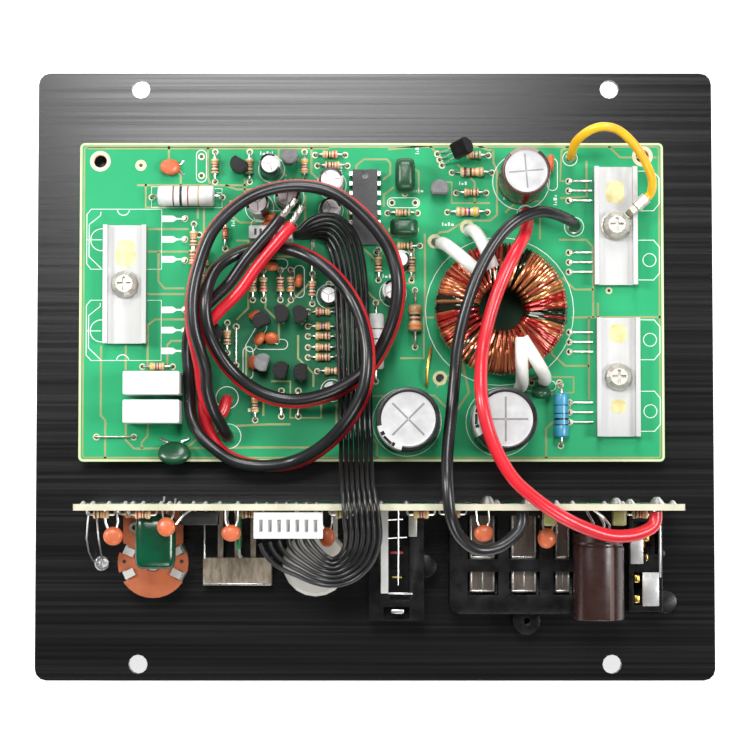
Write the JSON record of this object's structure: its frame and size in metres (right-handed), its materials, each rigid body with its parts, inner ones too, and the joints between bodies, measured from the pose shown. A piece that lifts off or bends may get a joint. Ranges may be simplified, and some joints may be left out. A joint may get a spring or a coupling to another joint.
{
  "type": "audio amplifier board",
  "caption": "Plate amplifier for a speaker cabinet: flat panel carrying a clamped main board, an upright control board, rotary controls, sockets, a choke, tall cans and a looped speaker cable.",
  "frame": {"origin": "centre of the panel's rear face, midway between its corner holes", "axes": "+Z out of the panel's rear face towards the boards, +Y towards the panel's edge away from the controls, +X to the right seen from the rear"},
  "size_m": [0.178, 0.16, 0.0583],
  "materials": {
    "panel_black": "black anodised, lightly brushed",
    "board_green": "green solder mask over glass fibre",
    "board_cream": "bare cut edge of a circuit board",
    "bare_aluminium": "mill finish",
    "bright_steel": "bright plated",
    "tinned_metal": "tinned, a little tarnished",
    "package_black": "moulded epoxy",
    "package_grey": "moulded epoxy",
    "can_black": "shrunk sleeve with a bare metal top",
    "can_brown": "shrunk sleeve with a bare metal top",
    "copper_winding": "enamelled copper wire",
    "white_plastic": "moulded",
    "resistor_white": "cement coating",
    "film_green": "dipped gloss coating",
    "phenolic_brown": "punched phenolic sheet",
    "wire_black": "soft glossy insulation",
    "wire_red": "soft glossy insulation",
    "wire_yellow": "soft glossy insulation",
    "socket_black": "moulded",
    "silicone_grey": "thin filled sheet",
    "lens_clear": "clear cast resin",
    "fuse_amber": "translucent moulding"
  },
  "bodies": {
    "root": {"mounting_panel": "panel_black", "output_transistor_1": "package_black", "output_transistor_2": "package_black", "switching_transistor_1": "package_black", "switching_transistor_2": "package_black", "switching_transistor_3": "package_black", "switching_transistor_4": "package_black", "insulating_pad_left": "silicone_grey", "insulating_pad_upper": "silicone_grey", "insulating_pad_lower": "silicone_grey", "main_circuit_board": "board_green", "clamp_bar_left": "bare_aluminium", "clamp_bar_upper": "bare_aluminium", "clamp_bar_lower": "bare_aluminium", "clamp_screw_left": "bright_steel", "clamp_screw_upper": "bright_steel", "clamp_screw_lower": "bright_steel", "ring_lug": "bright_steel", "toroid_choke": "copper_winding", "choke_sleeve_1": "white_plastic", "choke_sleeve_2": "white_plastic", "choke_sleeve_forked": "white_plastic", "bulk_capacitor_left": "can_black", "bulk_capacitor_right": "can_black", "input_capacitor": "can_brown", "driver_chip": "package_grey", "film_capacitor_1": "white_plastic", "film_capacitor_2": "white_plastic", "power_resistor_1": "resistor_white", "power_resistor_2": "resistor_white", "control_circuit_board": "board_cream", "tone_capacitor": "film_green", "supply_capacitor": "can_brown", "ribbon_plug": "white_plastic", "filter_pot_body": "bright_steel", "filter_pot_wafer": "phenolic_brown", "filter_pot_nut": "bright_steel", "level_pot_body": "bright_steel", "level_pot_nut": "bright_steel", "slide_switch_frame": "bright_steel", "input_jack_block": "socket_black", "input_jack_strip": "bright_steel", "terminal_block": "socket_black", "terminal_strip_1": "tinned_metal", "terminal_strip_2": "tinned_metal", "terminal_strip_3": "tinned_metal", "fuse_holder": "socket_black", "blade_fuse": "fuse_amber", "indicator_lamp": "lens_clear", "speaker_wire_black": "wire_black", "speaker_wire_red": "wire_red", "ground_lead": "wire_black", "supply_lead": "wire_red", "remote_lead": "wire_yellow", "ribbon_cable": "wire_black"},
    "filter_control": {"filter_shaft": "bare_aluminium", "filter_knob": "socket_black"},
    "level_control": {"level_shaft": "bare_aluminium", "level_knob": "socket_black"},
    "power_slide": {"slide_switch_slider": "white_plastic"}
  },
  "joints": [
    {"name": "filter_turn", "type": "hinge", "parent": "root", "child": "filter_control", "pos_m": [-0.0572, -0.0489, 0], "axis": [0, 0, 1], "range_deg": [-150, 150]},
    {"name": "level_turn", "type": "hinge", "parent": "root", "child": "level_control", "pos_m": [-0.0153, -0.0491, 0], "axis": [0, 0, 1], "range_deg": [-150, 150]},
    {"name": "power_switch_slide", "type": "slide", "parent": "root", "child": "power_slide", "axis": [1, 0, 0], "range_m": [-0.002, 0.002]}
  ]
}
